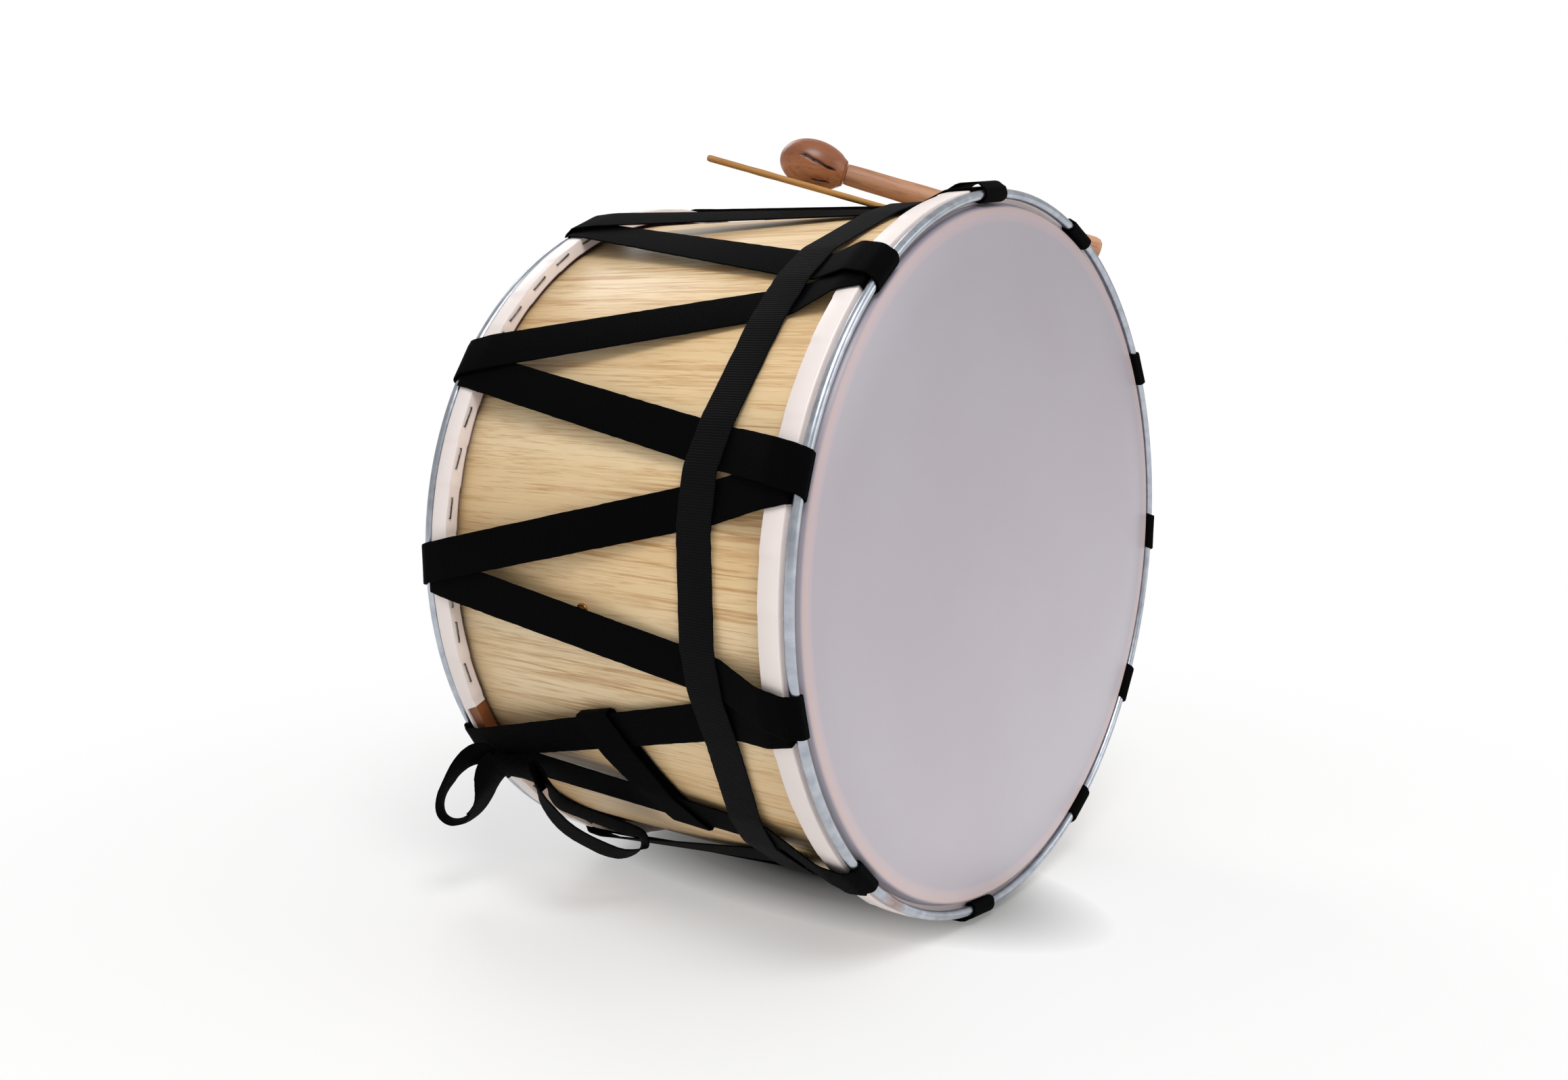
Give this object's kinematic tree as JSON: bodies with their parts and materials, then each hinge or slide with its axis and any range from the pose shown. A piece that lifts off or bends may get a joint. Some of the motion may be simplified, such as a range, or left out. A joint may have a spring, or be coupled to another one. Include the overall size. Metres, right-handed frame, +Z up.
{
  "type": "davul",
  "caption": "Two-headed bass drum laced with black webbing, its big beater and thin switch tucked under the belt.",
  "frame": {"origin": "bottom centre of the bounding box, on the floor under the middle of the drum", "axes": "+Y from the front head to the rear head along the drum's axis, +Z up"},
  "size_m": [0.4648, 0.31, 0.5041],
  "materials": {
    "pale_wood": "satin",
    "hoop_wood": "matte",
    "head_film": "satin",
    "steel": "satin",
    "webbing": "matte",
    "belt_webbing": "matte",
    "brass": "satin",
    "head_wood": "satin",
    "handle_wood": "satin",
    "switch_wood": "satin"
  },
  "bodies": {
    "drum": {"shell": "pale_wood", "front_inner_ring": "pale_wood", "rear_inner_ring": "pale_wood", "front_head": "head_film", "rear_head": "head_film", "front_flesh_hoop": "hoop_wood", "rear_flesh_hoop": "hoop_wood", "front_counter_ring": "steel", "rear_counter_ring": "steel", "lacing_run_01": "webbing", "lacing_run_02": "webbing", "lacing_run_03": "webbing", "lacing_run_04": "webbing", "lacing_run_05": "webbing", "lacing_run_06": "webbing", "lacing_run_07": "webbing", "lacing_run_08": "webbing", "lacing_run_09": "webbing", "lacing_run_10": "webbing", "lacing_run_11": "webbing", "lacing_run_12": "webbing", "lacing_run_13": "webbing", "lacing_run_14": "webbing", "lacing_run_15": "webbing", "lacing_run_16": "webbing", "lacing_run_17": "webbing", "lacing_run_18": "webbing", "lacing_run_19": "webbing", "lacing_run_20": "webbing", "lacing_run_21": "webbing", "lacing_run_22": "webbing", "cross_belt": "belt_webbing", "tie_band": "webbing", "bow_knot": "webbing", "bow_loop_left": "webbing", "bow_loop_right": "webbing", "strap_eye": "brass"},
    "tokmak": {"tokmak_head": "head_wood", "tokmak_handle": "handle_wood"},
    "cubuk": {"cubuk": "switch_wood"}
  },
  "joints": [
    {"name": "tokmak_pull", "type": "slide", "parent": "drum", "child": "tokmak", "axis": [-0.5927, 0.7556, 0.2789], "range_m": [0, 0.11]},
    {"name": "cubuk_pull", "type": "slide", "parent": "drum", "child": "cubuk", "axis": [-0.772, 0.5911, 0.2335], "range_m": [0, 0.1]}
  ]
}
